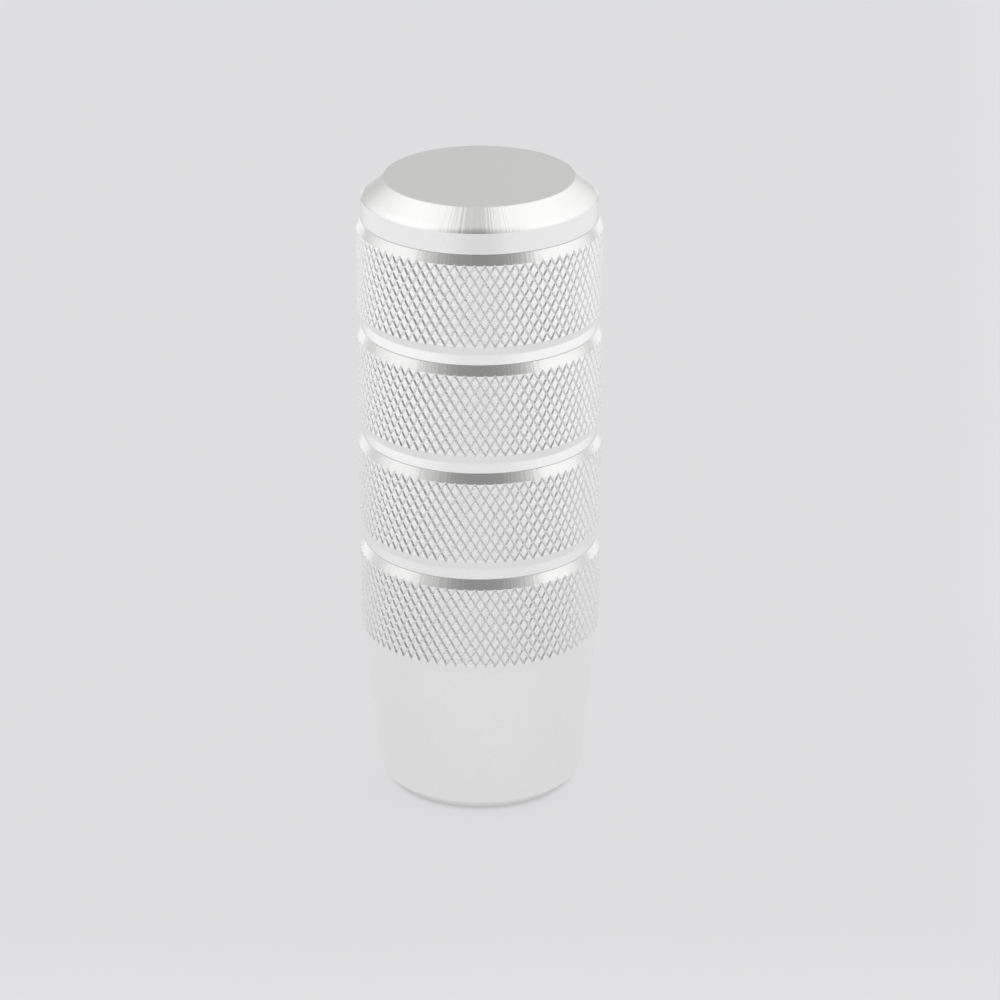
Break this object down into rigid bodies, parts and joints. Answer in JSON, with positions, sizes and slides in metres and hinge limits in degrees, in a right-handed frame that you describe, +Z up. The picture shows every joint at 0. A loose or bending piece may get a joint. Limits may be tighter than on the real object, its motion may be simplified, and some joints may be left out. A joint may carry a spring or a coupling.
{
  "type": "gear shift knob",
  "caption": "Cylindrical aluminium gear shift knob with knurled grip bands, turned grooves, a tapered skirt and a screw-in bush that threads onto the lever.",
  "frame": {"origin": "centre of the foot, where the knob stands", "axes": "+Z up the knob's axis, from the foot to the flat top"},
  "size_m": [0.035, 0.035, 0.093],
  "materials": {
    "anodised_aluminium": "satin, clear anodised",
    "turned_brass": "turned"
  },
  "bodies": {
    "root": {"knob_body": "anodised_aluminium", "thread_adapter": "turned_brass"}
  },
  "joints": []
}
